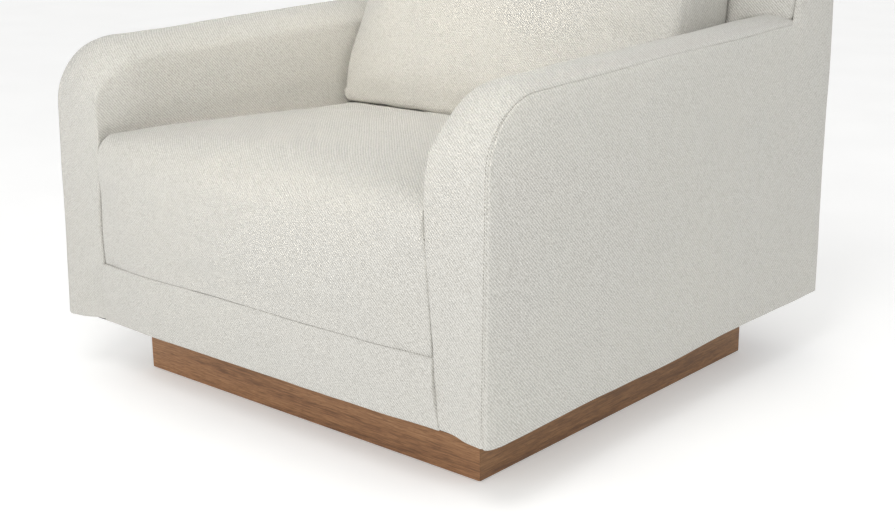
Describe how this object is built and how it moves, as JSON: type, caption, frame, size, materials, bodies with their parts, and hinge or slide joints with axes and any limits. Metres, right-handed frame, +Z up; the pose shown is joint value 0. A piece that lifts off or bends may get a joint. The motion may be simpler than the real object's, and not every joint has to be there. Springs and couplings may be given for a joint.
{
  "type": "lounge chair",
  "caption": "Deep upholstered lounge chair with rounded arms, a loose seat cushion and a loose back cushion, on a recessed wooden plinth.",
  "frame": {"origin": "centre of the footprint, on the floor", "axes": "+Z up; the front faces -Y; X runs across the chair, +X at the sitter's left-hand arm"},
  "size_m": [0.98, 0.964, 0.785],
  "materials": {
    "upholstery": "ivory pebbled woven upholstery fabric, matt",
    "walnut": "medium brown stained wood, satin, grain along the board",
    "hardwood": "unfinished kiln-dried hardwood",
    "plywood": "unfinished plywood",
    "spring_steel": "drawn steel wire and zinc plated bolts",
    "felt": "dense dark felt",
    "webbing": "woven elastic webbing",
    "cambric": "black non-woven dust cloth"
  },
  "bodies": {
    "chair": {"arm_front_and_top_left": "upholstery", "arm_front_and_top_right": "upholstery", "arm_inner_pad_left": "upholstery", "arm_inner_pad_right": "upholstery", "arm_inner_ply_left": "plywood", "arm_inner_ply_right": "plywood", "arm_outer_ply_left": "plywood", "arm_outer_ply_right": "plywood", "arm_post_left": "hardwood", "arm_post_right": "hardwood", "arm_top_rail_left": "hardwood", "arm_top_rail_right": "hardwood", "back_post_left": "hardwood", "back_post_right": "hardwood", "back_rail_lower": "hardwood", "back_rail_top": "hardwood", "back_webbing_left": "webbing", "back_webbing_middle": "webbing", "back_webbing_right": "webbing", "dust_cover": "cambric", "front_rail_cover": "upholstery", "glide_front_left": "felt", "glide_front_right": "felt", "glide_rear_left": "felt", "glide_rear_right": "felt", "inside_back_pad": "upholstery", "outside_back_panel": "upholstery", "plinth_block_front_left": "hardwood", "plinth_block_front_right": "hardwood", "plinth_block_rear_left": "hardwood", "plinth_block_rear_right": "hardwood", "plinth_bolt_front_left": "spring_steel", "plinth_bolt_front_right": "spring_steel", "plinth_bolt_rear_left": "spring_steel", "plinth_bolt_rear_right": "spring_steel", "plinth_brace": "hardwood", "plinth_front": "walnut", "plinth_left": "walnut", "plinth_rear": "walnut", "plinth_right": "walnut", "seat_block_front_left": "hardwood", "seat_block_front_right": "hardwood", "seat_block_rear_left": "hardwood", "seat_block_rear_right": "hardwood", "seat_deck_cover": "upholstery", "seat_rail_front": "hardwood", "seat_rail_left": "hardwood", "seat_rail_rear": "hardwood", "seat_rail_right": "hardwood", "seat_spring_1": "spring_steel", "seat_spring_2": "spring_steel", "seat_spring_3": "spring_steel", "seat_spring_4": "spring_steel", "seat_spring_5": "spring_steel", "seat_spring_6": "spring_steel", "side_panel_left": "upholstery", "side_panel_right": "upholstery"},
    "seat_cushion": {"seat_cushion": "upholstery"},
    "back_cushion": {"back_cushion": "upholstery"}
  },
  "joints": [
    {"name": "seat_cushion_slide", "type": "slide", "parent": "chair", "child": "seat_cushion", "axis": [0, -1, 0], "range_m": [0, 0.8]},
    {"name": "back_cushion_lift", "type": "slide", "parent": "chair", "child": "back_cushion", "axis": [0, 0, 1], "range_m": [0, 0.36]}
  ]
}
